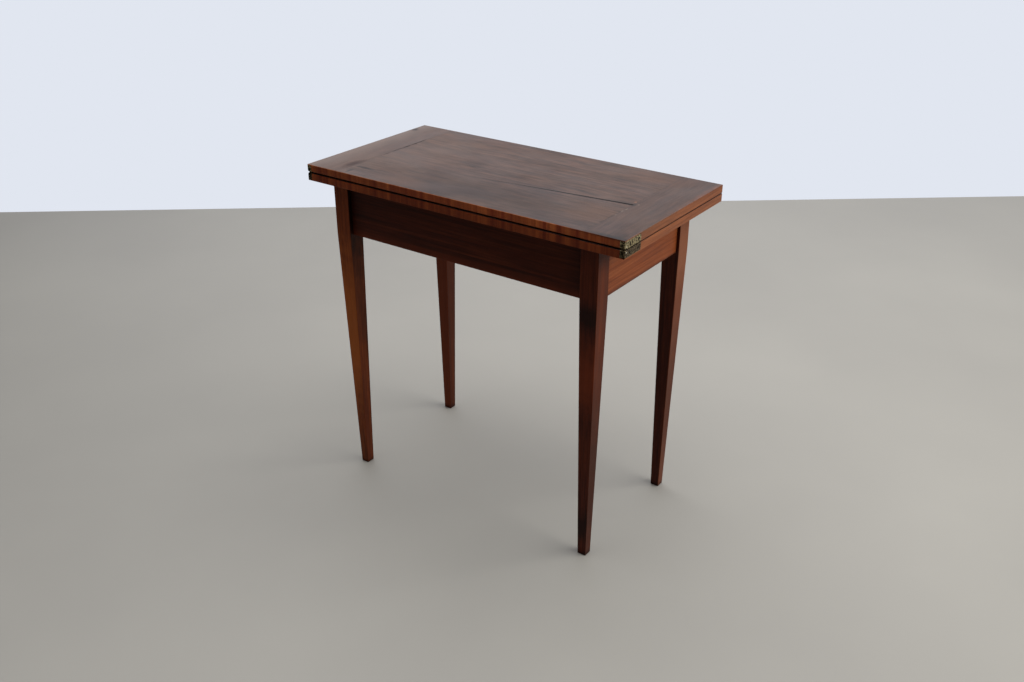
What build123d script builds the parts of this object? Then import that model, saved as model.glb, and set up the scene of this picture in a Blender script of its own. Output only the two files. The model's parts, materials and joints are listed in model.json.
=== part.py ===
"""Folding card table with a swivel top, in millimetres.

Four square tapered legs and four recessed rails make an open frame. Two equal leaves lie
closed on it, joined along their front long edge by a pair of double-pin brass hinges let
into their ends. The closed pair turns a quarter turn on a stud in the pivot rail, and the
upper leaf then folds over, so that both leaves lie flat on the frame. The turned top opens
a well for cards. Origin: on the floor, under the middle of the closed top. X runs along
the top, Y from the hinged edge to the free edge, Z up.
"""

from build123d import *
import os
from math import atan2, cos, degrees, pi, radians, sin, sqrt

# Top
top_length = 800.0
leaf_width = 398.0
leaf_thickness = 17.4
leaf_gap = 1.2
open_gap = 0.4
table_height = 750.0
fold_edge_radius = 5.0
arris_chamfer = 0.7
end_arris_chamfer = 0.5
clamp_width = 87.0
board_joint_y = -29.0
tongue_thickness = 5.8
tongue_length = 9.0
tongue_end_margin = 14.0
tongue_tip_clearance = 1.0

# Baize
baize_border = 40.0
baize_recess = 1.0
baize_thickness = 1.45
baize_side_clearance = 0.3
baize_corner_radius = 3.0

# Legs and rails
end_overhang = 62.0
side_overhang = 14.0
leg_square = 40.0
leg_outer_taper = 12.5
leg_inner_taper = 7.5
leg_arris_chamfer = 0.7
foot_chamfer = 0.8
rail_height = 112.6
rail_thickness = 20.0
long_rail_recess = 10.0
short_rail_recess = 7.0
rail_edge_radius = 1.2
rub_clearance = 0.4
tenon_inset = 5.0
tenon_shoulder = 12.0
tenon_wall = 2.0
short_tenon_length = 22.0
mortise_end_clearance = 0.5

# Pivot rail and pivot
pivot_rail_width = 76.0
pivot_rail_thickness = 22.0
pivot_rail_housing = 8.0
housing_end_clearance = 0.2
stud_radius = 6.0
stud_tip_length = 3.0
stud_tip_chamfer = 1.0
flange_radius = 32.0
flange_thickness = 3.0
bush_wall = 3.0
running_clearance = 0.05
thread_clearance = 0.02
washer_radius = 15.0
washer_thickness = 2.0
washer_gap = 0.3
nut_across_flats = 19.0
nut_height = 9.0
flange_screw_circle = 23.0
flange_screw_count = 4

# Stop peg, and its quarter-circle groove in the lower leaf
peg_radius = 4.0
peg_circle = 44.0
peg_rise = 4.4
peg_depth = 18.0
peg_chamfer = 0.6
groove_clearance = 0.3

# Card well
divider_thickness = 10.0
well_bottom_thickness = 6.0
ledger_size = 12.0
board_edge_clearance = 0.5

# Hinges
hinge_plate_length = 58.0
hinge_plate_height = 15.5
hinge_plate_thickness = 2.6
hinge_plate_corner = 2.5
hinge_boss_length = 13.0
hinge_boss_depth = 11.0
pin_radius = 1.5
pin_fit = 0.02
link_thickness = 3.8
link_set_in = 1.0
slot_side_clearance = 0.2
slot_end_clearance = 0.4
screw_first = 18.0
screw_pitch = 32.0
screw_count = 2

# Countersunk wood screws
screw_head_radius = 3.2
screw_shank_radius = 1.7
screw_head_depth = 1.8
screw_point_length = 4.0
screw_point_radius = 0.4
screw_slot_width = 0.8
screw_slot_depth = 0.9
screw_slot_turn = 35.0
screw_sides = 12
hinge_screw_length = 16.0
flange_screw_length = 12.0

cut_overrun = 5.0
left, right = -1, 1
front, back = -1, 1

# Heights of the closed top, and the middle of the gap that mirrors one leaf to the other
fold_z = table_height - leaf_thickness - leaf_gap / 2
mate_z = fold_z - leaf_gap / 2
under_z = mate_z - leaf_thickness
fold_mirror = Plane.XY.offset(fold_z)
half_length = top_length / 2
half_width = leaf_width / 2
field_half = half_length - clamp_width

# Frame outlines, and the tenons inside the legs
frame_top_z = under_z - rub_clearance
rail_bottom_z = frame_top_z - rail_height
leg_x = half_length - end_overhang
leg_y = half_width - side_overhang
shoulder_x = leg_x - leg_square
shoulder_y = leg_y - leg_square
long_rail_out = leg_y - long_rail_recess
long_rail_in = long_rail_out - rail_thickness
short_rail_out = leg_x - short_rail_recess
short_rail_in = short_rail_out - rail_thickness
long_tenon_y = (long_rail_in + tenon_inset, long_rail_out - tenon_inset)
short_tenon_x = (short_rail_in + tenon_inset, short_rail_out - tenon_inset)
tenon_z = (rail_bottom_z + tenon_shoulder, frame_top_z - tenon_shoulder)
long_tenon_length = short_tenon_x[0] - tenon_wall - shoulder_x

# The pivot stands a quarter of the leaf's width off the middle both ways, so that the turned
# and opened top is centred.
pivot_x = -leaf_width / 4
pivot_y = -leaf_width / 4
pivot_rail_x = (pivot_x - pivot_rail_width / 2, pivot_x + pivot_rail_width / 2)
pivot_rail_bottom = frame_top_z - pivot_rail_thickness
bush_radius = stud_radius + running_clearance + bush_wall
washer_top = pivot_rail_bottom - washer_gap
nut_top = washer_top - washer_thickness
nut_low = nut_top - nut_height

# Each hinge pin lies level with the centre of the fold edge's rounding, set back so that
# the gap closes up as the leaves open.
pin_z = mate_z - fold_edge_radius
far_pin_z = 2 * fold_z - pin_z
pin_y = -half_width + fold_edge_radius + (leaf_gap - open_gap) / 2
link_end_radius = fold_edge_radius - link_set_in
boss_middle = half_length - hinge_boss_depth / 2
plate_middle_z = mate_z - hinge_plate_height / 2


def block(xs, ys, zs):
    """A box between two values on each axis, in either order."""
    size = [abs(end - start) for start, end in (xs, ys, zs)]
    middle = [(start + end) / 2 for start, end in (xs, ys, zs)]
    return Pos(*middle) * Box(*size)


def disc(x, y, low, high, radius):
    """An upright cylinder between two heights."""
    return Pos(x, y, (low + high) / 2) * Cylinder(radius, high - low)


def spans(side, span):
    """A span on the right or the back, or its mirror image."""
    return side * span[0], side * span[1]


def left_of(shape):
    """The same piece at the other end of the table."""
    return mirror(shape, about=Plane.YZ)


def above(shape):
    """The same piece in the upper leaf."""
    return mirror(shape, about=fold_mirror)


def save(name, *solids):
    """Writes one node as a STEP file, of one solid or of several alike."""
    os.makedirs("parts", exist_ok=True)
    shape = solids[0] if len(solids) == 1 else Compound(solids)
    export_step(shape, f"parts/{name}.step")


def tapered_stub(start_radius, end_radius, start, end):
    """A many-sided stub along Z between two distances, with its corners on the two radii."""
    lean = atan2((start_radius - end_radius) * cos(pi / screw_sides), end - start)
    outline = Pos(0, 0, start) * RegularPolygon(start_radius, screw_sides)
    return extrude(outline, end - start, taper=degrees(lean))


def wood_screw(length):
    """A countersunk screw without its driver slot, head face at z = 0, point at -length.

    It has flat sides all round, few enough to keep the many screws light.
    """
    head = tapered_stub(screw_head_radius, screw_shank_radius, 0, screw_head_depth)
    shank_end = length - screw_point_length
    shank = tapered_stub(screw_shank_radius, screw_shank_radius, screw_head_depth, shank_end)
    point = tapered_stub(screw_shank_radius, screw_point_radius, shank_end, length)
    return Rot(180, 0, 0) * (head + shank + point)


def driver_slot(turn):
    """The slot in a screw's head."""
    return Rot(0, 0, turn) * Box(2 * screw_head_radius, screw_slot_width, 2 * screw_slot_depth)


# Leaves, modelled as the lower one

def corner_rank(vertex):
    """Highest for the corner of the section that lies at the fold."""
    return vertex.Y - vertex.X


def leaf_blank():
    """The lower leaf in one piece, with its fold corner rounded and its arrises eased."""
    section = Rectangle(leaf_width, leaf_thickness)
    corners = section.vertices().sort_by(corner_rank)
    section = chamfer(corners[:-1], arris_chamfer)
    section = fillet(section.vertices().sort_by(corner_rank)[-1], fold_edge_radius)
    placed = Plane.YZ.offset(-half_length) * Pos(0, (under_z + mate_z) / 2) * section
    blank = extrude(placed, top_length)
    ends = blank.faces().filter_by(Axis.X)
    return chamfer(ends.edges(), end_arris_chamfer)


def baize_panel(inset, height):
    """The baize panel's shape, from the bottom of its recess up."""
    outline = RectangleRounded(
        top_length - 2 * (baize_border + inset),
        leaf_width - 2 * (baize_border + inset),
        baize_corner_radius,
    )
    return extrude(Pos(0, 0, mate_z - baize_recess) * outline, height)


tongue_low = (under_z + mate_z - tongue_thickness) / 2
tongue_z = (tongue_low, tongue_low + tongue_thickness)
tongue_y = half_width - tongue_end_margin
past_face_z = (under_z - cut_overrun, mate_z + cut_overrun)
past_edge_y = half_width + cut_overrun


def board_region(y_start, y_end):
    """The space of one board of the field, with the stopped tongues on its two ends."""
    core = block((-field_half, field_half), (y_start, y_end), past_face_z)
    reach = field_half + tongue_length
    tongue = block((-reach, reach), (max(y_start, -tongue_y), min(y_end, tongue_y)), tongue_z)
    return core + tongue


def clamp_region(side):
    """The space of one end clamp, grooved for the tongues."""
    body = block(spans(side, (field_half, half_length + cut_overrun)), (-past_edge_y, past_edge_y), past_face_z)
    groove_bottom = field_half + tongue_length + tongue_tip_clearance
    groove = block(spans(side, (field_half - cut_overrun, groove_bottom)), (-tongue_y, tongue_y), tongue_z)
    return body - groove


leaf_regions = {
    "board_front": board_region(-past_edge_y, board_joint_y),
    "board_back": board_region(board_joint_y, past_edge_y),
    "clamp_left": clamp_region(left),
    "clamp_right": clamp_region(right),
}


# Hinges, modelled on the lower leaf's right end

def hinge_solid(blank):
    """Plate and boss in one, trimmed to the leaf's outline."""
    plate_z = (mate_z - hinge_plate_height, mate_z)
    plate = block(
        (half_length - hinge_plate_thickness, half_length),
        (-half_width, hinge_plate_length - half_width),
        plate_z,
    )
    tail = plate.edges().filter_by(Axis.X).group_by(Axis.Y)[-1]
    plate = fillet(tail, hinge_plate_corner)
    boss = block(
        (half_length - hinge_boss_depth, half_length),
        (-half_width, hinge_boss_length - half_width),
        plate_z,
    )
    return (plate + boss) & blank


def hinge_screw_places():
    """Where the hinge screws' heads lie, flush with the end of the leaf."""
    places = []
    for number in range(screw_count):
        y = screw_first + number * screw_pitch - half_width
        places.append(Pos(half_length, y, plate_middle_z) * Rot(0, 90, 0))
    return places


def cross_pin(radius, length, z):
    """A cylinder along X through the middle of the boss."""
    return Pos(boss_middle, pin_y, z) * Rot(0, 90, 0) * Cylinder(radius, length)


def hinge_plate(solid, screws):
    """One plate: its forked boss takes the link, its holes the pin and two screws."""
    slot_half = link_thickness / 2 + slot_side_clearance
    reach = link_end_radius + slot_end_clearance
    slot = block(
        (boss_middle - slot_half, boss_middle + slot_half),
        (-past_edge_y, pin_y + reach),
        (pin_z - reach, mate_z + cut_overrun),
    )
    plate = solid - slot - cross_pin(pin_radius + pin_fit, hinge_boss_depth + cut_overrun, pin_z)
    for screw in screws:
        plate -= screw
    return plate


def hinge_link():
    """The link between a hinge's two pins, upright while the leaves are closed."""
    link_x = (boss_middle - link_thickness / 2, boss_middle + link_thickness / 2)
    link = block(link_x, (pin_y - link_end_radius, pin_y + link_end_radius), (pin_z, far_pin_z))
    for z in (pin_z, far_pin_z):
        link += cross_pin(link_end_radius, link_thickness, z)
    for z in (pin_z, far_pin_z):
        link -= cross_pin(pin_radius + running_clearance, hinge_boss_depth, z)
    return link


# Pivot under the lower leaf

def flange_screw_places():
    """Where the flange screws' heads lie, flush with the underside of the leaf."""
    step = 360 / flange_screw_count
    places = []
    for number in range(flange_screw_count):
        angle = radians(step * (number + 1 / 2))
        x = pivot_x + flange_screw_circle * cos(angle)
        y = pivot_y + flange_screw_circle * sin(angle)
        places.append(Pos(x, y, under_z) * Rot(180, 0, 0))
    return places


def pivot_plate(screws):
    """The flange let into the lower leaf, with its stud and countersunk holes."""
    stud = disc(pivot_x, pivot_y, nut_low - stud_tip_length, under_z + flange_thickness, stud_radius)
    stud = chamfer(stud.edges().group_by(Axis.Z)[0], stud_tip_chamfer)
    plate = disc(pivot_x, pivot_y, under_z, under_z + flange_thickness, flange_radius) + stud
    for screw in screws:
        plate -= screw
    return plate


def stop_peg():
    """The dowel in the pivot rail that runs in the leaf's groove and stops the turn at its ends."""
    peg_y = pivot_y + peg_circle
    peg = disc(pivot_x, peg_y, frame_top_z - peg_depth, frame_top_z + peg_rise, peg_radius)
    return chamfer(peg.edges().group_by(Axis.Z)[-1], peg_chamfer)


def stop_groove():
    """The quarter-circle groove under the lower leaf, from behind the pivot round to its right."""
    depth = peg_rise - rub_clearance + groove_clearance
    half = peg_radius + groove_clearance
    quarter = block((0, peg_circle + half), (0, peg_circle + half), (0, depth))
    track = Pos(0, 0, depth / 2) * (Cylinder(peg_circle + half, depth) - Cylinder(peg_circle - half, depth))
    groove = track & quarter
    for x, y in ((0, peg_circle), (peg_circle, 0)):
        groove += disc(x, y, 0, depth, half)
    return Pos(pivot_x, pivot_y, under_z) * groove


def ring(low, high, outer, inner):
    """A turned ring on the pivot's axis."""
    hole = disc(pivot_x, pivot_y, low - cut_overrun, high + cut_overrun, inner)
    return disc(pivot_x, pivot_y, low, high, outer) - hole


def pivot_nut():
    """The hexagon nut under the washer."""
    outline = RegularPolygon(nut_across_flats / 2, 6, major_radius=False)
    nut = extrude(Pos(pivot_x, pivot_y, nut_low) * outline, nut_height)
    return nut - disc(pivot_x, pivot_y, nut_low - cut_overrun, nut_top + cut_overrun, stud_radius + thread_clearance)


# The leaves with everything let into them
blank = leaf_blank()
plate_solid = hinge_solid(blank)
end_screws = [place * wood_screw(hinge_screw_length) for place in hinge_screw_places()]
flange_screws = [place * wood_screw(flange_screw_length) for place in flange_screw_places()]
end_cuts = [plate_solid, *end_screws]
leaf = blank - baize_panel(0, baize_recess + cut_overrun)
for cut in end_cuts:
    leaf = leaf - cut - left_of(cut)
lower_leaf = leaf - disc(pivot_x, pivot_y, under_z - cut_overrun, under_z + flange_thickness, flange_radius)
lower_leaf -= stop_groove()
for screw in flange_screws:
    lower_leaf -= screw
for name, region in leaf_regions.items():
    save(f"lower_leaf_{name}", lower_leaf & region)
    save(f"upper_leaf_{name}", above(leaf & region))
baize = baize_panel(baize_side_clearance, baize_thickness)
save("baize_lower", baize)
save("baize_upper", above(baize))

# The hinges, one at each end
plate_right = hinge_plate(plate_solid, end_screws)
plate_left = left_of(plate_right)
link_right = hinge_link()
pin_right = cross_pin(pin_radius, hinge_boss_depth - 2 * pin_fit, pin_z)
slotted_right = [
    screw - place * driver_slot(screw_slot_turn) for screw, place in zip(end_screws, hinge_screw_places())
]
lower_pins = [pin_right, left_of(pin_right)]
lower_screws = slotted_right + [left_of(screw) for screw in slotted_right]
save("hinge_plate_lower_right", plate_right)
save("hinge_plate_lower_left", plate_left)
save("hinge_plate_upper_right", above(plate_right))
save("hinge_plate_upper_left", above(plate_left))
save("hinge_link_right", link_right)
save("hinge_link_left", left_of(link_right))
save("hinge_pins_lower", *lower_pins)
save("hinge_pins_upper", *[above(pin) for pin in lower_pins])
save("hinge_screws_lower", *lower_screws)
save("hinge_screws_upper", *[above(screw) for screw in lower_screws])

# The pivot
save("pivot_plate", pivot_plate(flange_screws))
slotted_flange = [
    screw - place * driver_slot(screw_slot_turn) for screw, place in zip(flange_screws, flange_screw_places())
]
save("pivot_screws", *slotted_flange)
save("pivot_bush", ring(pivot_rail_bottom, frame_top_z, bush_radius, stud_radius + running_clearance))
save("pivot_washer", ring(nut_top, washer_top, washer_radius, stud_radius + running_clearance))
save("pivot_nut", pivot_nut())
save("stop_peg", stop_peg())


# Legs

def leg_prism(turn, half, taper_out, taper_in):
    """The leg's outline seen from one side, straight by the rails and tapered below, carried through."""
    corners = [
        (half, frame_top_z),
        (half, rail_bottom_z),
        (half - taper_out, 0),
        (taper_in - half, 0),
        (-half, rail_bottom_z),
        (-half, frame_top_z),
    ]
    outline = make_face(Polyline(corners, close=True))
    return Rot(0, 0, turn) * extrude(Plane.XZ * outline, leg_square, both=True)


def leg():
    """The leg at the back right, tapered on all four faces and mortised for two tenons.

    It is what four outlines have in common: two square on, and two across the corners, which
    ease the arrises.
    """
    half = leg_square / 2
    corner_half = (leg_square - leg_arris_chamfer) / sqrt(2)
    mean_taper = (leg_outer_taper + leg_inner_taper) / 2
    post = leg_prism(0, half, leg_outer_taper, leg_inner_taper)
    post &= leg_prism(90, half, leg_outer_taper, leg_inner_taper)
    post &= leg_prism(45, corner_half, leg_outer_taper * sqrt(2), leg_inner_taper * sqrt(2))
    post &= leg_prism(-45, corner_half, mean_taper * sqrt(2), mean_taper * sqrt(2))
    post = Pos(leg_x - half, leg_y - half, 0) * post
    post = chamfer(post.edges().group_by(Axis.Z)[0], foot_chamfer)
    long_end = shoulder_x + long_tenon_length + mortise_end_clearance
    long_mortise = block((shoulder_x - cut_overrun, long_end), long_tenon_y, tenon_z)
    short_end = shoulder_y + short_tenon_length + mortise_end_clearance
    short_mortise = block(short_tenon_x, (shoulder_y - cut_overrun, short_end), tenon_z)
    return post - long_mortise - short_mortise


leg_back_right = leg()
leg_front_right = mirror(leg_back_right, about=Plane.XZ)
save("leg_back_right", leg_back_right)
save("leg_back_left", left_of(leg_back_right))
save("leg_front_right", leg_front_right)
save("leg_front_left", left_of(leg_front_right))


# Rails

def eased_rail(xs, ys, axis):
    """A rail between two shoulders, with its lower arrises eased."""
    rail = block(xs, ys, (rail_bottom_z, frame_top_z))
    return fillet(rail.edges().filter_by(axis).group_by(Axis.Z)[0], rail_edge_radius)


def long_rail(side):
    """A long rail, tenoned at both ends and housed inside for the pivot rail."""
    rail = eased_rail((-shoulder_x, shoulder_x), spans(side, (long_rail_in, long_rail_out)), Axis.X)
    reach = shoulder_x + long_tenon_length
    tenons = block((-reach, reach), spans(side, long_tenon_y), tenon_z)
    housing_y = spans(side, (long_rail_in - cut_overrun, long_rail_in + pivot_rail_housing))
    housing = block(pivot_rail_x, housing_y, (pivot_rail_bottom, frame_top_z + cut_overrun))
    return rail + tenons - housing


def short_rail(side):
    """A short rail, tenoned at both ends."""
    rail = eased_rail(spans(side, (short_rail_in, short_rail_out)), (-shoulder_y, shoulder_y), Axis.Y)
    reach = shoulder_y + short_tenon_length
    return rail + block(spans(side, short_tenon_x), (-reach, reach), tenon_z)


save("rail_front", long_rail(front))
save("rail_back", long_rail(back))
save("rail_left", short_rail(left))
save("rail_right", short_rail(right))

# The pivot rail, between the long rails and flush with their tops
rail_reach = long_rail_in + pivot_rail_housing - housing_end_clearance
pivot_rail = block(pivot_rail_x, (-rail_reach, rail_reach), (pivot_rail_bottom, frame_top_z))
pivot_rail -= disc(pivot_x, pivot_y, pivot_rail_bottom - cut_overrun, frame_top_z + cut_overrun, bush_radius)
pivot_rail -= stop_peg()
save("pivot_rail", pivot_rail)

# The card well: a divider under the pivot rail, a bottom board and the ledgers it rests on
well_x = pivot_rail_x[1]
ledger_z = (rail_bottom_z, rail_bottom_z + ledger_size)
inner_ledger_y = long_rail_in - ledger_size
save(
    "well_divider",
    block((well_x - divider_thickness, well_x), (-long_rail_in, long_rail_in), (rail_bottom_z, pivot_rail_bottom)),
)
save("well_ledger_front", block((well_x, shoulder_x), spans(front, (inner_ledger_y, long_rail_in)), ledger_z))
save("well_ledger_back", block((well_x, shoulder_x), spans(back, (inner_ledger_y, long_rail_in)), ledger_z))
save(
    "well_ledger_right",
    block((short_rail_in - ledger_size, short_rail_in), (-inner_ledger_y, inner_ledger_y), ledger_z),
)
board_x = (well_x + board_edge_clearance, short_rail_in - board_edge_clearance)
board_y = long_rail_in - board_edge_clearance
board_z = (ledger_z[1], ledger_z[1] + well_bottom_thickness)
well_bottom = block(board_x, (-board_y, board_y), board_z)
for side in (front, back):
    corner_x = (shoulder_x - board_edge_clearance, leg_x)
    corner_y = spans(side, (shoulder_y - board_edge_clearance, leg_y))
    well_bottom -= block(corner_x, corner_y, (rail_bottom_z, frame_top_z))
save("well_bottom", well_bottom)
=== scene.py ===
"""Looks of the folding card table: its finishes, joints opened by age, baize, light and camera."""

import json
from math import pi, radians
import bmesh
import bpy
from mathutils import Matrix, Vector


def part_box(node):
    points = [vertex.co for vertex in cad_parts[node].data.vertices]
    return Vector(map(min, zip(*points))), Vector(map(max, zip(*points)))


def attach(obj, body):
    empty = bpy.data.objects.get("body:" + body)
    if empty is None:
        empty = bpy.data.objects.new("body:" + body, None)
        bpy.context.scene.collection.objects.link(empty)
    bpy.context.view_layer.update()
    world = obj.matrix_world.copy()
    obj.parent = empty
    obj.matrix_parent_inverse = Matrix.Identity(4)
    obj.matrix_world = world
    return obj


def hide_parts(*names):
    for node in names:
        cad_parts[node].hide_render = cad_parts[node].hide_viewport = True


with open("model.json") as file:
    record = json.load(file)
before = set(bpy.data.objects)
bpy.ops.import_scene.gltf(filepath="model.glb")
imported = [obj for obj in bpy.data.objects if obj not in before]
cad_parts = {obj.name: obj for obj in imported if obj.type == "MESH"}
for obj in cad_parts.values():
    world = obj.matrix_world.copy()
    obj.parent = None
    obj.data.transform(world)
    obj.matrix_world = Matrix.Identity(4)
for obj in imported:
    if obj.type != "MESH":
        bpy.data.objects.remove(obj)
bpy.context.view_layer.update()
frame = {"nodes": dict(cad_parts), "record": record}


# Upper leaf
# Two mahogany boards between cross-grained end clamps, wax polished and worn by two
# centuries of hands. The joint between the boards has shrunk open from the middle to the
# right clamp, and the long edges are faced with short pieces of cross-grained veneer.

leaf_low, leaf_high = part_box("upper_leaf_clamp_right")
half_length, half_width, top_z = leaf_high
clamp_joint = leaf_low.x
board_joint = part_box("upper_leaf_board_back")[0].y
fold_z = (leaf_low.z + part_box("lower_leaf_clamp_right")[1].z) / 2

# the boards' joint on the open face: its slant, and how wide it has opened towards the right
joint_slant = 0.107
joint_right = -0.0192
crack_start = -0.06
crack_width = 0.0033
crack_curve = 1.4
crack_cuts = 8

# the left clamp's joint, opened by these amounts in even steps from front to back
left_gap_start = -0.062
left_gap_step = 0.0135
left_gap = (
    0.0, 0.0004, 0.0010, 0.0004, 0.0012, 0.0005, 0.0009,
    0.0024, 0.0006, 0.0026, 0.0007, 0.0018, 0.0003, 0.0)

mm = 0.001
grain_length = 420 * mm
streak_width = 9 * mm
fibre_length = 55 * mm
fibre_width = 2.8 * mm
pore_length = 13 * mm
pore_width = 1 * mm
figure_length = 220 * mm
figure_width = 75 * mm
blot_grain = 14.3 * mm
wax_cloud = 111 * mm
raggedness = 1.2
# a noise seldom leaves this range
noise_low = 0.3
noise_high = 0.7


def linear(hex_colour):
    """An sRGB hex colour as the linear colour that the shaders take."""
    channels = [int(hex_colour[start:start + 2], 16) / 255 for start in (1, 3, 5)]
    return [c / 12.92 if c <= 0.04045 else ((c + 0.055) / 1.055) ** 2.4 for c in channels] + [1.0]


def add(tree, kind, inputs=(), **settings):
    """Adds a shader node with its settings, fixed values and links, and gives its outputs.

    inputs are values, hex colours or sockets, in the node's own order or in a dict.
    """
    made = tree.nodes.new("ShaderNode" + kind)
    for name, value in settings.items():
        setattr(made, name, value)
    named = inputs if isinstance(inputs, dict) else dict(enumerate(inputs))
    for socket, value in named.items():
        if isinstance(value, bpy.types.NodeSocket):
            tree.links.new(value, made.inputs[socket])
        else:
            made.inputs[socket].default_value = linear(value) if isinstance(value, str) else value
    return made.outputs


def new_finish(name):
    """A material with nothing in it yet, and its tree."""
    made = bpy.data.materials.new(name)
    made.use_nodes = True
    made.node_tree.nodes.clear()
    return made, made.node_tree


def stain(tree, colour, tint, *shares):
    """Lays a tint over a colour, as strongly as all the shares multiplied together.

    A share is a socket, or a row that fades it: (value, low, high) goes from nothing at low to
    full at high, and (value, low, high, share_low, share_high) from one share to the other.
    """
    faded = [add(tree, "MapRange", row)[0] if isinstance(row, tuple) else row for row in shares]
    strength = faded[0]
    for share in faded[1:]:
        strength = add(tree, "Math", (strength, share), operation="MULTIPLY")[0]
    return add(tree, "Mix", {0: strength, 6: colour, 7: tint}, data_type="RGBA")[2]


def distance_from(tree, value, line):
    """How far a value lies from a line, on either side of it."""
    offset = add(tree, "Math", (value, line), operation="SUBTRACT")[0]
    return add(tree, "Math", (offset,), operation="ABSOLUTE")[0]


def wood_grain(tree, along, drift=0.4, coarse=1.0):
    """Grain of straight mahogany on Object coordinates: streaks, fibres, pores and figure.

    along is the axis the grain runs on, and drift how far the figure bends the streaks. Real
    fibres and pores are 0.3 to 1 mm wide: here they are three times as coarse, so that they
    show, and coarse widens the fibres once more for a face seen from far off.
    """
    place = add(tree, "TexCoord")["Object"]

    def drawn_out(length, width, **character):
        scale = [1 / width] * 3
        scale["XYZ".index(along)] = 1 / length
        stretched = add(tree, "Mapping", {"Vector": place, "Scale": scale})["Vector"]
        return add(tree, "TexNoise", {"Vector": stretched, "Scale": 1.0, **character})["Fac"]

    streaks = drawn_out(grain_length, streak_width, Detail=4.0, Roughness=0.6, Distortion=drift)
    fibres = drawn_out(fibre_length, fibre_width * coarse, Detail=2.0)
    pores = drawn_out(pore_length, pore_width, Detail=1.0)
    figure = drawn_out(figure_length, figure_width, Detail=3.0)
    return place, streaks, fibres, add(tree, "MapRange", (pores, 0.60, 0.72))[0], figure


def polished_mahogany(name, along, tones, roughness, specular, drift=0.4, fibre=0.2, coarse=1.0,
                      patina_and_painted_light=None):
    """Mahogany under old wax: warm brown-red, dark pores, a sheen broken by handling.

    tones are its dark, middle and light colours, and fibre is how much the fibres shade them.
    its last argument, called with (tree, place, colour), lays the marks of one piece over the
    colour, and on some pieces painted light and shade.
    """
    made, tree = new_finish(name)
    place, streaks, fibres, pits, figure = wood_grain(tree, along, drift, coarse)
    dark, middle, light = tones
    streaked = add(tree, "MapRange", (streaks, 0.33, 0.67, 0.0, 0.65))[0]
    figured = add(tree, "MapRange", (figure, 0.33, 0.67, 0.0, 0.35))[0]
    tone = add(tree, "Math", (streaked, figured), operation="ADD")[0]
    colour = stain(tree, dark, middle, (tone, 0.0, 0.5))
    colour = stain(tree, colour, light, (tone, 0.5, 1.0))
    shade = add(tree, "MapRange", (fibres, noise_low, noise_high, 1 - fibre, 1 + fibre))[0]
    colour = add(tree, "VectorMath", {0: colour, "Scale": shade}, operation="SCALE")[0]
    colour = stain(tree, colour, dark, (pits, 0.0, 1.0, 0.0, 0.5))
    if patina_and_painted_light:
        colour = patina_and_painted_light(tree, place, colour)
    rough = add(tree, "MapRange", (
        figure, noise_low, noise_high, roughness - 0.07, roughness + 0.09))[0]
    relief = add(tree, "Math", (fibres, pits), operation="SUBTRACT")[0]
    normal = add(tree, "Bump", {
        "Strength": 0.5, "Distance": 0.12 * mm, "Height": relief})["Normal"]
    shader = add(tree, "BsdfPrincipled", {
        "Base Color": colour, "Roughness": rough, "Normal": normal, "IOR": 1.5,
        "Specular IOR Level": specular})["BSDF"]
    add(tree, "OutputMaterial", {"Surface": shader})
    return made


def joint_y(x):
    """Where the boards meet on the open face: their joint runs slightly aslant."""
    return joint_right + joint_slant * (x - clamp_joint)


def blot(tree, colour, place, ragged_by, centre, radii, soft, depth, tint):
    """Stains the open face in an oval patch with a ragged rim, as deep as depth in its middle."""
    offset = add(tree, "VectorMath", (place, (*centre, 0.0)), operation="SUBTRACT")[0]
    per_radius = (1 / radii[0], 1 / radii[1], 0.0)
    offset = add(tree, "VectorMath", (offset, per_radius), operation="MULTIPLY")[0]
    reach = add(tree, "VectorMath", (offset,), operation="LENGTH")["Value"]
    reach = add(tree, "Math", (reach, raggedness / 2), operation="SUBTRACT")[0]
    ragged = add(tree, "Math", (ragged_by, raggedness, reach), operation="MULTIPLY_ADD")[0]
    return stain(tree, colour, tint, (ragged, 1.0, 1.0 - soft, 0.0, depth))


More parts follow.
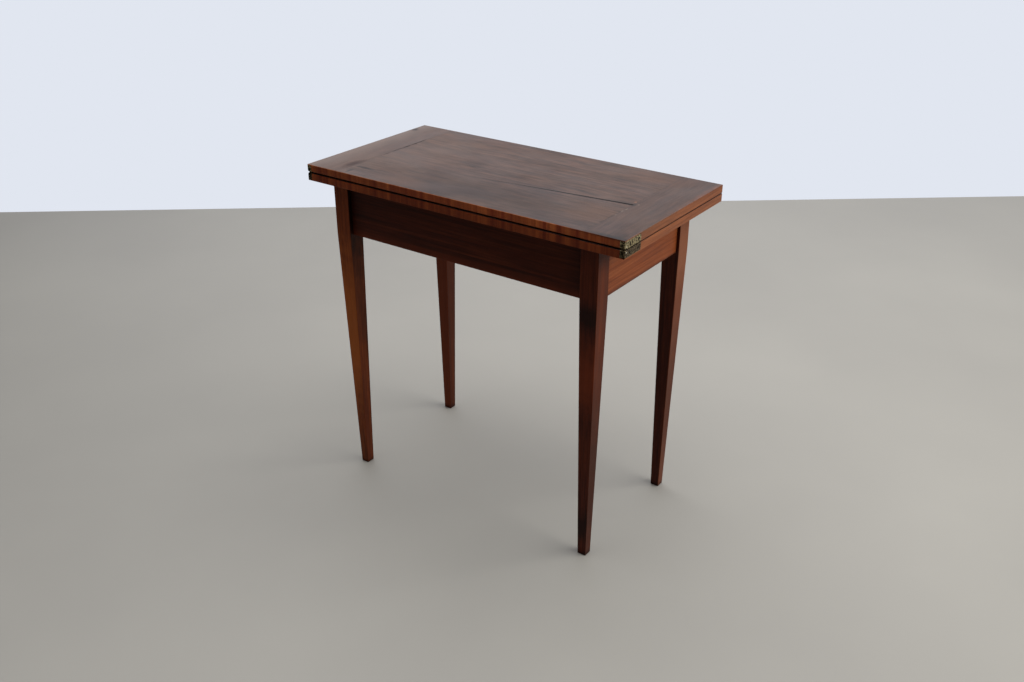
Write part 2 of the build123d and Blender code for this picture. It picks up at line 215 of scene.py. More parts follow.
def top_wear_and_painted_light(tree, place, colour):
    """Age on the open face: greyed wax, dirt in the joints, damp marks, chips beside the joint;
    with a painted sheen at the left end and painted shade beside the open joint.
    """
    x, y, _ = add(tree, "SeparateXYZ", (place,))
    wander = add(tree, "TexNoise", {
        "Vector": place, "Scale": 1 / blot_grain, "Detail": 4.0, "Roughness": 0.6})["Fac"]
    cloud = add(tree, "TexNoise", {
        "Vector": place, "Scale": 1 / wax_cloud, "Detail": 4.0, "Roughness": 0.6})["Fac"]
    # wax gone grey in clouds, and a painted sheen that greys the left end and pales its last
    # few centimetres; darker at the right
    grey_wax_and_sheen = add(tree, "MapRange", (cloud, 0.36, 0.66, 0.0, 0.16))[0]
    painted_sheen_left = add(tree, "MapRange", (x, -0.12, -0.40, 0.0, 0.22))[0]
    grey_wax_and_sheen = add(tree, "Math", (grey_wax_and_sheen, painted_sheen_left), operation="ADD")[0]
    colour = stain(tree, colour, "#7c6a60", grey_wax_and_sheen)
    colour = stain(tree, colour, "#a39389", (x, -0.345, -0.398, 0.0, 0.20))
    colour = stain(tree, colour, "#33241d", (x, 0.24, 0.40, 0.0, 0.32))
    # the middle of the front, darkened by hands, and patches rubbed through to the warmer wood
    for centre, radii, depth, tint in (
            ((0.04, -0.14), (0.34, 0.13), 0.70, "#2e1e18"),
            ((-0.15, -0.168), (0.08, 0.035), 0.45, "#62412b"),
            ((0.27, -0.10), (0.08, 0.06), 0.45, "#62412b"),
            ((0.27, 0.15), (0.10, 0.05), 0.45, "#62412b")):
        colour = blot(tree, colour, place, cloud, centre, radii, 0.9, depth, tint)
    # damp marks and a scratch near the front of the left joint, a knock on the left arris, and
    # grime in the right front corner
    for centre, radii, depth, tint in (
            ((-0.320, -0.134), (0.016, 0.042), 0.92, "#34170a"),
            ((-0.279, -0.146), (0.034, 0.0065), 0.85, "#1d0f09"),
            ((-0.293, -0.181), (0.006, 0.018), 0.90, "#140b07"),
            ((-0.392, 0.154), (0.009, 0.014), 0.90, "#160d09"),
            ((0.365, -0.196), (0.055, 0.014), 0.85, "#100906"),
            ((0.384, -0.180), (0.022, 0.022), 0.50, "#24160f")):
        colour = blot(tree, colour, place, wander, centre, radii, 0.7, depth, tint)
    # dirt in the clamps' joints, broken where the wax bridges them, and worst behind the middle
    # of the left one
    dirt_front = add(tree, "MapRange", (y, -0.06, 0.03))[0]
    dirt_back = add(tree, "MapRange", (y, 0.08, 0.12, 1.0, 0.0))[0]
    left_dirt = add(tree, "Math", (dirt_front, dirt_back), operation="MULTIPLY")[0]
    for joint_x, dirt in (
            (-clamp_joint, (left_dirt, 0.0, 1.0, 0.22, 0.97)),
            (clamp_joint, (y, -0.08, 0.05, 0.40, 0.30))):
        distance = distance_from(tree, x, joint_x)
        colour = stain(tree, colour, "#140b08", (distance, 0.0014, 0.0040, 1.0, 0.0), dirt,
                       (wander, 0.42, 0.60, 0.35, 1.0))
    # dirt along the open joint, with painted shade spreading beside it, deeper and wider towards
    # the right clamp
    meeting = add(tree, "Math", (x, joint_slant, joint_y(0.0)), operation="MULTIPLY_ADD")[0]
    reach = add(tree, "MapRange", (x, crack_start, clamp_joint, 0.0030, 0.0085))[0]
    distance = distance_from(tree, y, meeting)
    distance = add(tree, "Math", (distance, reach), operation="DIVIDE")[0]
    colour = stain(tree, colour, "#170d09", (distance, 1.0, 0.2), (x, -0.12, 0.27, 0.12, 0.85),
                   (x, -0.10, -0.03), (x, clamp_joint + 0.003, clamp_joint + 0.006, 1.0, 0.0))
    # small pale chips along the right clamp's joint
    for centre, radii, tint in (
            ((0.3085, -0.002), (0.0030, 0.0048), "#8f5f42"),
            ((0.3215, -0.013), (0.0018, 0.0030), "#94806f"),
            ((0.3150, -0.048), (0.0017, 0.0055), "#94806f"),
            ((0.3135, -0.063), (0.0014, 0.0055), "#94806f"),
            ((0.3140, -0.088), (0.0010, 0.0045), "#94806f")):
        colour = blot(tree, colour, place, wander, centre, radii, 0.6, 0.6, tint)
    # the back of the right arris, worn through to the redder wood
    return stain(tree, colour, "#7d4a32", (x, 0.386, 0.3985), (y, -0.10, 0.12),
                 (wander, 0.35, 0.65, 0.15, 0.6))


def inner_patina(tree, place, colour):
    """Dirt that has crept in along the rims of the leaves' mating faces."""
    x, y, _ = add(tree, "SeparateXYZ", (place,))
    from_middle = distance_from(tree, x, 0.0), distance_from(tree, y, 0.0)
    rim_x = add(tree, "MapRange", (from_middle[0], half_length - 0.006, half_length - 0.002))[0]
    rim_y = add(tree, "MapRange", (from_middle[1], half_width - 0.009, half_width - 0.004))[0]
    rim = add(tree, "Math", (rim_x, rim_y), operation="MAXIMUM")[0]
    return stain(tree, colour, "#120704", (rim, 0.0, 1.0, 0.0, 0.9))


def end_patina(tree, place, colour):
    """A grey film and dirt where the leaves meet, and a dark line along the top arris."""
    _, y, z = add(tree, "SeparateXYZ", (place,))
    meeting = distance_from(tree, z, fold_z)
    colour = stain(tree, colour, "#4c3d33", (z, fold_z, fold_z + 0.004),
                   (y, -0.15, 0.12, 0.36, 0.02))
    colour = stain(tree, colour, "#1c0c06", (meeting, 0.0006, 0.0020, 0.75, 0.0))
    return stain(tree, colour, "#4a2c1e", (z, top_z - 0.0020, top_z - 0.0006, 0.0, 0.45))


board_top = polished_mahogany(
    "mahogany_top_along", "X", ("#412d24", "#4d362c", "#563d31"),
    roughness=0.42, specular=0.32, fibre=0.62, coarse=1.5, patina_and_painted_light=top_wear_and_painted_light)
clamp_top = polished_mahogany(
    "mahogany_top_across", "Y", ("#402c23", "#4e362c", "#573e32"),
    roughness=0.41, specular=0.32, fibre=0.40, coarse=1.3, patina_and_painted_light=top_wear_and_painted_light)
inner_tones = ("#431a0d", "#6a2d17", "#834022")
inner_along = polished_mahogany(
    "mahogany_inner_along", "X", inner_tones,
    roughness=0.45, specular=0.25, patina_and_painted_light=inner_patina)
inner_across = polished_mahogany(
    "mahogany_inner_across", "Y", inner_tones,
    roughness=0.45, specular=0.25, patina_and_painted_light=inner_patina)
leaf_end = polished_mahogany(
    "mahogany_leaf_end", "Y", ("#703d22", "#8f5230", "#a0613b"),
    roughness=0.42, specular=0.22, fibre=0.18, patina_and_painted_light=end_patina)
joint_wood = polished_mahogany(
    "mahogany_joint", "X", ("#160c08", "#1e110b", "#26170e"), roughness=0.80, specular=0.05)

veneer_length = 34 * mm
length_wave = 0.45
length_spread = 1.6
tone_wave = 1.9


def edge_banding(name, red, tan):
    """Cross-grained veneer in short pieces along a leaf's edge: each has its own tone."""
    made, tree = new_finish(name)
    place, _, fibres, _, figure = wood_grain(tree, "Z", drift=0.0)
    x, _, z = add(tree, "SeparateXYZ", (place,))
    # both waves are counted in pieces: one makes their lengths uneven, one shades along the edge
    step = add(tree, "Math", (x, 1 / veneer_length), operation="MULTIPLY")[0]
    uneven = add(tree, "TexNoise", {
        "W": step, "Scale": length_wave, "Detail": 1.0}, noise_dimensions="1D")["Fac"]
    number = add(tree, "Math", (uneven, length_spread, step), operation="MULTIPLY_ADD")[0]
    number = add(tree, "Math", (number,), operation="FLOOR")[0]
    own_tone = add(tree, "TexWhiteNoise", {"W": number}, noise_dimensions="1D")["Value"]
    own_tone = add(tree, "Math", (own_tone, 0.35), operation="MULTIPLY")[0]
    drift = add(tree, "TexNoise", {
        "W": step, "Scale": tone_wave, "Detail": 3.0}, noise_dimensions="1D")["Fac"]
    tone = add(tree, "MapRange", (drift, noise_low, noise_high, 0.0, 0.65))[0]
    tone = add(tree, "Math", (tone, own_tone), operation="ADD")[0]
    colour = stain(tree, red, tan, (tone, 0.1, 0.9))
    shade = add(tree, "MapRange", (fibres, noise_low, noise_high, 0.82, 1.14))[0]
    colour = add(tree, "VectorMath", {0: colour, "Scale": shade}, operation="SCALE")[0]
    colour = stain(tree, colour, "#4a160a", (figure, 0.35, 0.7, 0.0, 0.35))
    # the upper leaf's edge, darker towards its left end
    colour = stain(tree, colour, "#441709", (x, 0.0, -0.30, 0.0, 0.30),
                   (z, fold_z, fold_z + 0.001))
    # the top arris, worn to the paler wood, but dark with grime beside the right hinge
    colour = stain(tree, colour, "#b4774a", (z, top_z - 0.0018, top_z - 0.0004, 0.0, 0.5),
                   (drift, 0.35, 0.6, 0.3, 1.0), (x, 0.20, 0.32, 1.0, 0.0))
    colour = stain(tree, colour, "#1c0d08", (x, 0.24, 0.34),
                   (z, top_z - 0.0040, top_z - 0.0010, 0.0, 0.75))
    # painted shade in the rounding where the leaves meet
    meeting = distance_from(tree, z, fold_z)
    colour = stain(tree, colour, "#160a06", (meeting, 0.0013, 0.0034, 0.85, 0.0))
    normal = add(tree, "Bump", {
        "Strength": 0.4, "Distance": 0.15 * mm, "Height": fibres})["Normal"]
    shader = add(tree, "BsdfPrincipled", {
        "Base Color": colour, "Roughness": 0.45, "Normal": normal, "IOR": 1.5,
        "Specular IOR Level": 0.12})["BSDF"]
    add(tree, "OutputMaterial", {"Surface": shader})
    return made


upper_banding = edge_banding("mahogany_edge_banding_upper", "#7c2b15", "#bc6532")
lower_banding = edge_banding("mahogany_edge_banding_lower", "#5c1e0e", "#964a22")

outer_face, long_edge, end_face, hidden_face, mating_face = range(5)
steepness_of_flat = 0.75
steepness_of_end = 0.5
edge_depth = 6 * mm
end_depth = 2 * mm


def leaf_finish(normal, centre):
    """Which of a leaf's five finishes a face takes, by where it lies and faces."""
    if abs(normal.z) > steepness_of_flat:
        return outer_face if (normal.z > 0) == (centre.z > fold_z) else mating_face
    if abs(centre.y) > half_width - edge_depth and abs(normal.y) > abs(normal.x):
        return long_edge
    if abs(centre.x) > half_length - end_depth and abs(normal.x) > steepness_of_end:
        return end_face
    return hidden_face


# corners closer than these are merged, or count as lying in one place
merge_distance = 0.001 * mm
same_place = 0.01 * mm
open_face_depth = 1 * mm
one_plane_degrees = 0.3
crisp_degrees = 32


def cut_across(shape, place, direction):
    """Cuts the faces along a plane, so that there are corners to move or a strip to lift."""
    geometry = shape.verts[:] + shape.edges[:] + shape.faces[:]
    bmesh.ops.bisect_plane(
        shape, geom=geometry, dist=merge_distance, plane_co=place, plane_no=direction)


def open_joint(shape):
    """Sets the boards' joint aslant and opens it as a wedge, and opens the left clamp's joint."""
    for step in range(crack_cuts):
        x = crack_start + step * (clamp_joint - crack_start) / crack_cuts
        cut_across(shape, (x, 0, 0), (1, 0, 0))
    side = 1 if sum(vert.co.y for vert in shape.verts) > 0 else -1
    for vert in shape.verts:
        if abs(vert.co.y - board_joint) < same_place:
            vert.co.y = joint_y(vert.co.x)
            share = (vert.co.x - crack_start) / (clamp_joint - crack_start)
            if vert.co.z > top_z - open_face_depth and share > 0:
                vert.co.y += side * share ** crack_curve * crack_width / 2
    for step in range(len(left_gap)):
        cut_across(shape, (0, left_gap_start + step * left_gap_step, 0), (0, 1, 0))
    for vert in shape.verts:
        step = round((vert.co.y - left_gap_start) / left_gap_step)
        off_cut = abs(vert.co.y - left_gap_start - step * left_gap_step)
        on_cut = off_cut < same_place and 0 <= step < len(left_gap)
        at_joint = abs(vert.co.x + clamp_joint) < same_place
        if on_cut and at_joint and vert.co.z > top_z - open_face_depth:
            vert.co.x += left_gap[step]


def set_in_place(shape, name, finishes, node, body):
    """Makes a shape a piece that rides on its body and stands for a CAD piece."""
    mesh = bpy.data.meshes.new(name)
    shape.to_mesh(mesh)
    shape.free()
    # the normals that came with a CAD piece no longer fit its cut faces
    for attribute in [item for item in mesh.attributes if item.name == "custom_normal"]:
        mesh.attributes.remove(attribute)
    for finish in finishes:
        mesh.materials.append(finish)
    mesh.shade_smooth()
    mesh.set_sharp_from_angle(angle=radians(crisp_degrees))
    piece = bpy.data.objects.new(name, mesh)
    bpy.context.scene.collection.objects.link(piece)
    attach(piece, body)
    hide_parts(node)
    return piece


def dress(node, body, finishes, reshape=None):
    """A copy of a leaf's CAD piece whose faces take their own finishes."""
    shape = bmesh.new()
    shape.from_mesh(frame["nodes"][node].data)
    bmesh.ops.remove_doubles(shape, verts=shape.verts, dist=merge_distance)
    bmesh.ops.dissolve_limit(
        shape, angle_limit=radians(one_plane_degrees), verts=shape.verts, edges=shape.edges)
    if reshape:
        reshape(shape)
    shape.normal_update()
    for face in shape.faces:
        face.material_index = leaf_finish(face.normal, face.calc_center_median())
    set_in_place(shape, "dressed_" + node, finishes, node, body)


for part in ("board_front", "board_back"):
    finishes = [board_top, upper_banding, leaf_end, joint_wood, inner_along]
    dress("upper_leaf_" + part, "upper_leaf", finishes, open_joint)
for part in ("clamp_left", "clamp_right"):
    finishes = [clamp_top, upper_banding, leaf_end, joint_wood, inner_across]
    dress("upper_leaf_" + part, "upper_leaf", finishes)


# Lower leaf
# Made like the upper leaf, with the same veneered edges. Its underside is planed and has never
# been polished, and it carries the pivot flange, let in flush, and the groove for the stop peg.

underside_tones = ("#3a2015", "#573321", "#6e462d")
underside_along = polished_mahogany(
    "mahogany_underside_along", "X", underside_tones, roughness=0.70, specular=0.15)
underside_across = polished_mahogany(
    "mahogany_underside_across", "Y", underside_tones, roughness=0.70, specular=0.15)
for part in ("board_front", "board_back"):
    finishes = [underside_along, lower_banding, leaf_end, joint_wood, inner_along]
    dress("lower_leaf_" + part, "lower_leaf", finishes)
for part in ("clamp_left", "clamp_right"):
    finishes = [underside_across, lower_banding, leaf_end, joint_wood, inner_across]
    dress("lower_leaf_" + part, "lower_leaf", finishes)


# Baize
# A panel of green wool baize glued into a shallow recess in each mating face, cut a little
# small so that its edge doesn't fray, and proud enough to play cards on.

cloth_thickness = 1.4 * mm
cloth_cells = (24, 12)
nap_size = 1.11 * mm
faded_patch = 200 * mm


def baize_cloth():
    """Napped wool: short fibres in every direction, faded in soft patches.

    The real fibres are finer than 0.1 mm, and the nap is drawn ten times as coarse to show.
    """
    made, tree = new_finish("green_baize")
    place = add(tree, "TexCoord")["Object"]
    nap = add(tree, "TexNoise", {
        "Vector": place, "Scale": 1 / nap_size, "Detail": 3.0, "Roughness": 0.7})["Fac"]
    fade = add(tree, "TexNoise", {
        "Vector": place, "Scale": 1 / faded_patch, "Detail": 4.0, "Roughness": 0.6})["Fac"]
    colour = stain(tree, "#34573a", "#426845", (fade, 0.3, 0.75))
    shade = add(tree, "MapRange", (nap, noise_low, noise_high, 0.72, 1.2))[0]
    colour = add(tree, "VectorMath", {0: colour, "Scale": shade}, operation="SCALE")[0]
    normal = add(tree, "Bump", {"Strength": 0.6, "Distance": 0.4 * mm, "Height": nap})["Normal"]
    shader = add(tree, "BsdfPrincipled", {
        "Base Color": colour, "Roughness": 0.95, "Normal": normal, "Sheen Weight": 0.35,
        "Sheen Roughness": 0.5})["BSDF"]
    add(tree, "OutputMaterial", {"Surface": shader})
    return made


baize_finish = baize_cloth()
for half, facing in (("lower", 1), ("upper", -1)):
    node = "baize_" + half
    body = half + "_leaf"
    low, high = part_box(node)
    back_z = low.z if facing > 0 else high.z
    shape = bmesh.new()
    bmesh.ops.create_grid(
        shape, x_segments=cloth_cells[0], y_segments=cloth_cells[1], size=0.5)
    bmesh.ops.scale(shape, verts=shape.verts, vec=(high.x - low.x, high.y - low.y, 1))
    bmesh.ops.translate(shape, verts=shape.verts, vec=(0, 0, back_z + facing * cloth_thickness))
    rim = [edge for edge in shape.edges if edge.is_boundary]
    skirt = bmesh.ops.extrude_edge_only(shape, edges=rim)["geom"]
    skirt_verts = [item for item in skirt if isinstance(item, bmesh.types.BMVert)]
    bmesh.ops.translate(shape, verts=skirt_verts, vec=(0, 0, -facing * cloth_thickness))
    bmesh.ops.recalc_face_normals(shape, faces=shape.faces)
    if sum(face.normal.z * face.calc_area() for face in shape.faces) * facing < 0:
        bmesh.ops.reverse_faces(shape, faces=shape.faces)
    piece = set_in_place(shape, "cloth_" + node, [baize_finish], node, body)


# Hinges
# Cast brass plates let into the ends of the leaves, each with a forked boss at the corner
# for the steel pin and the link. Old brass, dull and darkened, bright only where rubbed.

film_patch = 3.57 * mm
scratch_width = 0.625 * mm
# how squarely a face looks one way before it takes that side's marks and painted light and
# shade, and when it takes them all
side_begins = 0.4
side_full = 0.9


def metal(name, dull, bright, roughness, scratch, grime_and_painted_shade=None):
    """Old metal: a dull film with brighter rubbed patches and fine scratches.

    The last colour is that of the dirt and painted shade packed between the leaves, and of the
    painted shade on the faces towards the front. Real scratches are about 0.1 mm wide, and they
    are drawn six times as coarse.
    """
    made, tree = new_finish(name)
    place = add(tree, "TexCoord")["Object"]
    film = add(tree, "TexNoise", {
        "Vector": place, "Scale": 1 / film_patch, "Detail": 5.0, "Roughness": 0.7})["Fac"]
    rubbed = add(tree, "MapRange", (film, 0.44, 0.58))[0]
    colour = stain(tree, dull, bright, rubbed)
    if grime_and_painted_shade:
        # painted shade on the faces towards the front, and dirt with painted shade between the
        # leaves
        facing = add(tree, "SeparateXYZ", (add(tree, "TexCoord")["Normal"],))["Y"]
        meeting = distance_from(tree, add(tree, "SeparateXYZ", (place,))["Z"], fold_z)
        colour = stain(tree, colour, grime_and_painted_shade, (facing, -side_begins, -side_full, 0.0, 0.45))
        colour = stain(tree, colour, grime_and_painted_shade, (meeting, 0.0007, 0.0020, 0.85, 0.0))
    rough = add(tree, "MapRange", (rubbed, 0.0, 1.0, roughness + 0.15, roughness - 0.08))[0]
    fine = add(tree, "TexNoise", {
        "Vector": place, "Scale": 1 / scratch_width, "Detail": 2.0})["Fac"]
    normal = add(tree, "Bump", {
        "Strength": scratch, "Distance": 0.1 * mm, "Height": fine})["Normal"]
    shader = add(tree, "BsdfPrincipled", {
        "Base Color": colour, "Metallic": 1.0, "Roughness": rough, "Normal": normal})["BSDF"]
    add(tree, "OutputMaterial", {"Surface": shader})
    return made


def finish_node(node, finish):
    """Gives a CAD piece its finish."""
    piece = frame["nodes"][node]
    if not piece.material_slots:
        piece.data.materials.append(finish)
    for slot in piece.material_slots:
        slot.material = finish


# the upper plates are rubbed by hands and catch the light, the rest has gone nearly black
worn_brass = metal(
    "worn_brass", "#352a1b", "#d8c898", roughness=0.33, scratch=0.5, grime_and_painted_shade="#2a2116")
dark_brass = metal(
    "dark_brass", "#30261a", "#857458", roughness=0.42, scratch=0.5, grime_and_painted_shade="#1c150e")
screw_brass = metal("screw_brass", "#1d1812", "#4c422f", roughness=0.40, scratch=0.4)
for side in ("left", "right"):
    finish_node("hinge_plate_upper_" + side, worn_brass)
    finish_node("hinge_plate_lower_" + side, dark_brass)
    finish_node("hinge_link_" + side, dark_brass)

screw_head = 3.0 * mm
screw_neck = 1.7 * mm
screw_head_depth = 1.8 * mm
screw_reach = 12 * mm
screw_tip_share = 0.35
screw_sides = 32
screw_from_end = 3.2 * mm
slot_half_width = 0.4 * mm
slot_depth = 0.9 * mm
slot_floor_share = 0.75
screw_turns = (0.6, 2.1, 1.3, 2.7)


def wood_screw(place, outwards, turn):
    """A turned countersunk screw, its slot at some angle, its head facing outwards along X."""
    shape = bmesh.new()
    bmesh.ops.create_circle(shape, cap_ends=True, segments=screw_sides, radius=screw_head)
    cap = shape.faces[:]
    last = 0.0
    for depth, share in (
            (-screw_head_depth, screw_neck / screw_head), (-screw_reach, screw_tip_share)):
        moved = bmesh.ops.extrude_face_region(shape, geom=cap)["geom"]
        verts = [item for item in moved if isinstance(item, bmesh.types.BMVert)]
        cap = [item for item in moved if isinstance(item, bmesh.types.BMFace)]
        bmesh.ops.translate(shape, verts=verts, vec=(0, 0, depth - last))
        bmesh.ops.scale(shape, verts=verts, vec=(share, share, 1))
        last = depth
    for offset in (-slot_half_width, slot_half_width):
        cut_across(shape, (0, offset, 0), (0, 1, 0))
    strip = []
    for face in shape.faces:
        centre = face.calc_center_median()
        if abs(centre.z) < same_place and abs(centre.y) < slot_half_width:
            strip.append(face)
    moved = bmesh.ops.extrude_face_region(shape, geom=strip)["geom"]
    verts = [item for item in moved if isinstance(item, bmesh.types.BMVert)]
    bmesh.ops.delete(shape, geom=strip, context="FACES_ONLY")
    bmesh.ops.translate(shape, verts=verts, vec=(0, 0, -slot_depth))
    bmesh.ops.scale(shape, verts=verts, vec=(slot_floor_share, 1, 1))
    bmesh.ops.recalc_face_normals(shape, faces=shape.faces)
    bmesh.ops.rotate(shape, verts=shape.verts, matrix=Matrix.Rotation(turn, 3, "Z"))
    bmesh.ops.rotate(shape, verts=shape.verts, matrix=Matrix.Rotation(outwards * pi / 2, 3, "Y"))
    bmesh.ops.translate(shape, verts=shape.verts, vec=place)
    return shape


slots = {row["node"]: row["material_slot"] for row in frame["record"]["subparts"]}
for half in ("lower", "upper"):
    node = "hinge_screws_" + half
    low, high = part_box(node)
    all_screws = bmesh.new()
    turns = iter(screw_turns)
    for side in (-1, 1):
        for y in (low.y + screw_from_end, high.y - screw_from_end):
            one = wood_screw((side * high.x, y, (low.z + high.z) / 2), side, next(turns))
            single = bpy.data.meshes.new("screw")
            one.to_mesh(single)
            one.free()
            all_screws.from_mesh(single)
            bpy.data.meshes.remove(single)
    set_in_place(all_screws, "turned_" + node, [screw_brass], node, half + "_leaf")


# Pivot
# A steel flange with a turned stud, a washer and a nut under the pivot rail, and the hinges'
# pins. Plain iron-grey with no polish left, but the pins' ends are rubbed bright.

dull_steel = metal("dull_steel", "#3a3733", "#77726a", roughness=0.48, scratch=0.4)
bright_steel = metal("bright_steel", "#c9c2ac", "#fbf6e2", roughness=0.40, scratch=0.15)
for node, slot in slots.items():
    if slot == "pivot_steel":
        finish_node(node, bright_steel if node.startswith("hinge_pins") else dull_steel)


# Legs and rails
# Four legs of solid mahogany, square beside the rails and tapered below, with the rails
# tenoned into them and set back from their faces. The grain runs up the legs and along the
# rails.

leg_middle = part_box("leg_front_left")[1].z / 2
leg_mark_grain = 22.2 * mm
mark_raggedness = 0.7
scuff_raggedness = 0.02
rail_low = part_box("rail_front")[0].z
rail_rub_patch = 41.7 * mm


def leg_tones_and_painted_light(marks_and_painted_light):
    """Soft marks up a leg, partly its own tone and partly painted light and shade on its faces,
    and its foot scuffed dark by brooms and shoes.

    A mark has the side it is on, its height, its reach up and down, its share and its tint.
    """
    def patina_and_painted_light(tree, place, colour):
        normal = add(tree, "SeparateXYZ", (add(tree, "TexCoord")["Normal"],))
        height = add(tree, "SeparateXYZ", (place,))["Z"]
        wander = add(tree, "TexNoise", {
            "Vector": place, "Scale": 1 / leg_mark_grain, "Detail": 3.0})["Fac"]
        wander = add(tree, "Math", (wander, 0.5), operation="SUBTRACT")[0]
        for side, centre, reach, share, tint in marks_and_painted_light:
            sign = -1 if side[0] == "-" else 1
            away = distance_from(tree, height, centre)
            away = add(tree, "Math", (away, reach), operation="DIVIDE")[0]
            away = add(tree, "Math", (wander, mark_raggedness, away), operation="MULTIPLY_ADD")[0]
            facing = (normal[side[1]], sign * side_begins, sign * side_full)
            colour = stain(tree, colour, tint, facing, (away, 1.1, 0.3, 0.0, share))
        scuff = add(tree, "Math", (wander, scuff_raggedness, height), operation="MULTIPLY_ADD")[0]
        return stain(tree, colour, "#160b08", (scuff, 0.012, 0.001, 0.0, 0.7))
    return patina_and_painted_light


legs = {
    # right face in painted shade under the frame, nearly black beside the rail
    "front_left": (("#451f0e", "#713314", "#87431d"), (
        ("-Y", 0.36, 0.22, 0.62, "#b36026"),
        ("-Y", 0.66, 0.07, 0.40, "#5e240c"),
        ("-Y", 0.02, 0.06, 0.35, "#4a200c"),
        ("+X", leg_middle, 1.0, 0.20, "#4c200c"),
        ("+X", 0.66, 0.15, 0.95, "#100504"),
        ("+X", 0.05, 0.22, 0.55, "#340f06"))),
    # right face paler with painted light from the right; front painted dark just under the frame
    "front_right": (("#300f07", "#4c1c0d", "#622a14"), (
        ("+X", leg_middle, 1.0, 0.34, "#70381f"),
        ("+X", 0.19, 0.24, 0.70, "#2f160d"),
        ("+X", 0.72, 0.05, 0.25, "#3c2018"),
        ("-Y", 0.57, 0.038, 0.75, "#120806"),
        ("-Y", 0.43, 0.085, 0.45, "#8a3a18"),
        ("-Y", 0.075, 0.045, 0.75, "#120806"))),
    # right face darkened as painted shade under the table
    "back_left": (("#34130a", "#4c210f", "#5f2e17"), (
        ("-Y", leg_middle, 1.0, 0.50, "#86391a"),
        ("+X", leg_middle, 1.0, 0.35, "#3c180d"))),
    # right face paler with painted light from the right
    "back_right": (("#300f07", "#461a0d", "#582813"), (
        ("+X", leg_middle, 1.0, 0.58, "#84492d"),
        ("+X", 0.22, 0.22, 0.60, "#3c1c12"),
        ("+X", 0.6, 0.1, 0.5, "#9a6244"))),
}
for corner, (tones, marks_and_painted_light) in legs.items():
    finish_node("leg_" + corner, polished_mahogany(
        "mahogany_leg_" + corner, "Z", tones,
        roughness=0.42, specular=0.09, drift=0.5, fibre=0.28, patina_and_painted_light=leg_tones_and_painted_light(marks_and_painted_light)))


def rail_painted_shade_and_wear(along, corner, foot_share, foot_reach, foot_tint):
    """Painted shade in the corners by the legs, and the lower arris rubbed pale or gone dark.

    corner is where the painted shade is full, from the rail's middle. Inside a leg, none of it
    shows.
    """
    def patina_and_painted_light(tree, place, colour):
        axes = add(tree, "SeparateXYZ", (place,))
        rub = add(tree, "TexNoise", {
            "Vector": place, "Scale": 1 / rail_rub_patch, "Detail": 3.0})["Fac"]
        from_middle = distance_from(tree, axes[along], 0.0)
        # painted shade, deepening towards the legs
        colour = stain(tree, colour, "#0d0403", (from_middle, corner - 0.045, corner, 0.0, 0.5))
        foot = (axes["Z"], rail_low, rail_low + foot_reach, foot_share, 0.0)
        return stain(tree, colour, foot_tint, foot, (rub, noise_low, noise_high, 0.4, 1.0))
    return patina_and_painted_light


long_rail_finish = polished_mahogany(
    "mahogany_long_rail", "X", ("#2a0f08", "#461a0d", "#5c2915"),
    roughness=0.45, specular=0.08,
    patina_and_painted_light=rail_painted_shade_and_wear("X", corner=0.298, foot_share=0.8, foot_reach=0.022, foot_tint="#6d2e17"))
short_rail_finish = polished_mahogany(
    "mahogany_short_rail", "Y", ("#6c3218", "#8a4724", "#9c5832"),
    roughness=0.45, specular=0.14, fibre=0.14,
    patina_and_painted_light=rail_painted_shade_and_wear("Y", corner=0.19, foot_share=1.0, foot_reach=0.0045, foot_tint="#1c0a05"))
for side in ("front", "back"):
    finish_node("rail_" + side, long_rail_finish)
for side in ("left", "right"):
    finish_node("rail_" + side, short_rail_finish)


# Inside of the frame
# Pivot rail, divider, ledgers, stop peg and the well's bottom board, of plain unfinished
# wood that no one sees from outside.

def raw_wood(name, along):
    """Planed deal gone brown with age, dry and without polish."""
    made, tree = new_finish(name)
    _, streaks, fibres, _, _ = wood_grain(tree, along, drift=0.6)
    colour = stain(tree, "#6f4d31", "#9c7650", (streaks, 0.35, 0.66))
    shade = add(tree, "MapRange", (fibres, noise_low, noise_high, 0.85, 1.1))[0]
    colour = add(tree, "VectorMath", {0: colour, "Scale": shade}, operation="SCALE")[0]
    normal = add(tree, "Bump", {"Strength": 0.5, "Distance": 0.2 * mm, "Height": fibres})["Normal"]
    shader = add(tree, "BsdfPrincipled", {
        "Base Color": colour, "Roughness": 0.78, "Normal": normal, "IOR": 1.5})["BSDF"]
    add(tree, "OutputMaterial", {"Surface": shader})
    return made


deal_across = raw_wood("deal_across", "Y")
deal_along = raw_wood("deal_along", "X")
for node in ("pivot_rail", "well_divider", "well_ledger_right"):
    finish_node(node, deal_across)
for node in ("well_bottom", "well_ledger_front", "well_ledger_back"):
    finish_node(node, deal_along)
finish_node("stop_peg", raw_wood("deal_upright", "Z"))


# Floor, light and camera
# A plain pale floor that ends where the pale background begins, soft light from above and
# from the right, and a pale glow behind that the polished top mirrors.

floor_back = 1.966
floor_front = 2.8
floor_side = 3.4
floor_turn = 38.4
floor_cloud = 714 * mm


def floor_finish():
    """Pale screed, matt, hardly clouded."""
    made, tree = new_finish("pale_floor")
    place = add(tree, "TexCoord")["Object"]
    cloud = add(tree, "TexNoise", {
        "Vector": place, "Scale": 1 / floor_cloud, "Detail": 4.0})["Fac"]
    colour = stain(tree, "#9c9994", "#aca9a2", cloud)
    shader = add(tree, "BsdfPrincipled", {"Base Color": colour, "Roughness": 0.6})["BSDF"]
    add(tree, "OutputMaterial", {"Surface": shader})
    return made


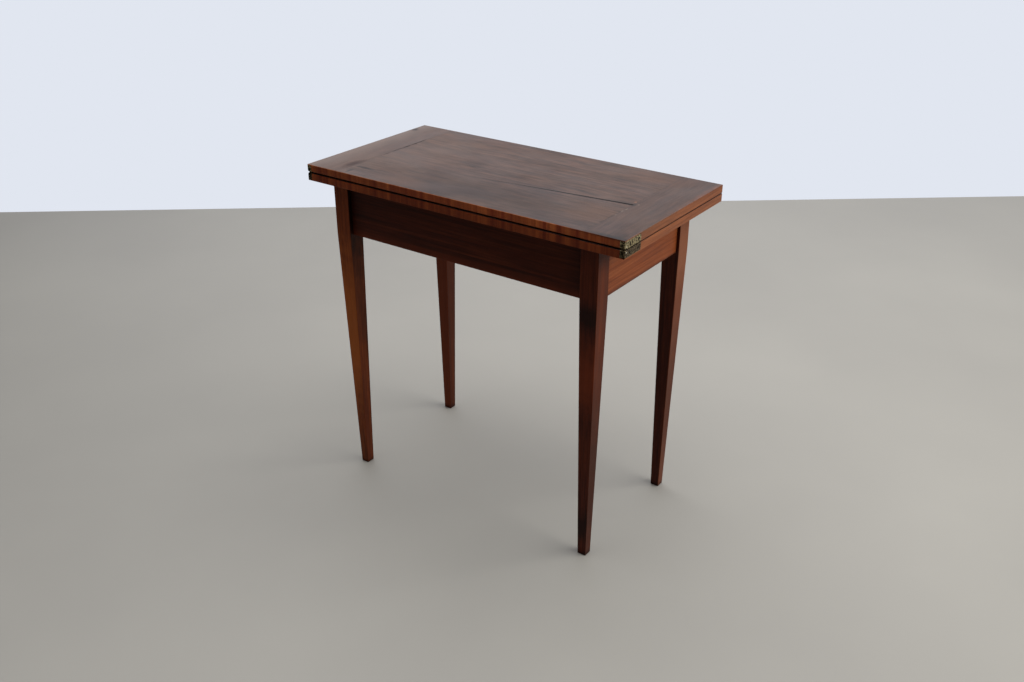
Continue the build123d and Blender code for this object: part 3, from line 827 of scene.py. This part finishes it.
shape = bmesh.new()
bmesh.ops.create_grid(shape, x_segments=1, y_segments=1, size=0.5)
bmesh.ops.scale(shape, verts=shape.verts, vec=(2 * floor_side, floor_front + floor_back, 1))
bmesh.ops.translate(shape, verts=shape.verts, vec=(0, (floor_back - floor_front) / 2, 0))
floor_mesh = bpy.data.meshes.new("floor")
shape.to_mesh(floor_mesh)
shape.free()
floor_mesh.materials.append(floor_finish())
floor = bpy.data.objects.new("floor", floor_mesh)
bpy.context.scene.collection.objects.link(floor)
floor.rotation_euler.z = radians(floor_turn)

# the air is dim for the table, but bright where the camera looks past the floor
studio = bpy.data.worlds.new("studio")
bpy.context.scene.world = studio
studio.use_nodes = True
studio.node_tree.nodes.clear()
seen = add(studio.node_tree, "LightPath")["Is Camera Ray"]
fill = add(studio.node_tree, "Background", {"Color": "#dde3ee", "Strength": 0.12})[0]
wall = add(studio.node_tree, "Background", {"Color": "#e1e6f0", "Strength": 1.0})[0]
both = add(studio.node_tree, "MixShader", (seen, fill, wall))[0]
add(studio.node_tree, "OutputWorld", {"Surface": both})

# broad lights that the camera doesn't see: size, place, the point they face, power and tint
softboxes = {
    "window_right": ((5.0, 2.6), (4.6, 1.8, 3.4), (0, 0, 0.3), 230, "#fffdf8"),
    "wall_behind": ((6.0, 2.8), (-1.6, 2.6, 1.6), (0, 0, 0.7), 37, "#e2e7f3"),
    "ceiling": ((4.0, 4.0), (-0.2, 0.4, 3.4), (0, 0, 0), 120, "#fbfaf8"),
}
for name, (size, place, aim, power, tint) in softboxes.items():
    light = bpy.data.lights.new(name, "AREA")
    light.shape = "RECTANGLE"
    light.size, light.size_y = size
    light.energy = power
    light.color = linear(tint)[:3]
    lamp = bpy.data.objects.new(name, light)
    lamp.location = place
    lamp.rotation_euler = (Vector(aim) - Vector(place)).to_track_quat("-Z", "Y").to_euler()
    lamp.visible_camera = False
    bpy.context.scene.collection.objects.link(lamp)
bpy.context.scene.view_settings.view_transform = "Standard"

# the camera, fitted to the photograph by the straight edges of the top, rails and legs
looks_down = 26.5
turned = 35.68
camera_data = bpy.data.cameras.new("camera")
camera_data.sensor_width = 36.0
camera_data.lens = 37.19
camera = bpy.data.objects.new("camera", camera_data)
camera.location = (1.2688, -1.7568, 1.4345)
camera.rotation_euler = (radians(90 - looks_down), 0, radians(turned))
bpy.context.scene.collection.objects.link(camera)
bpy.context.scene.camera = camera
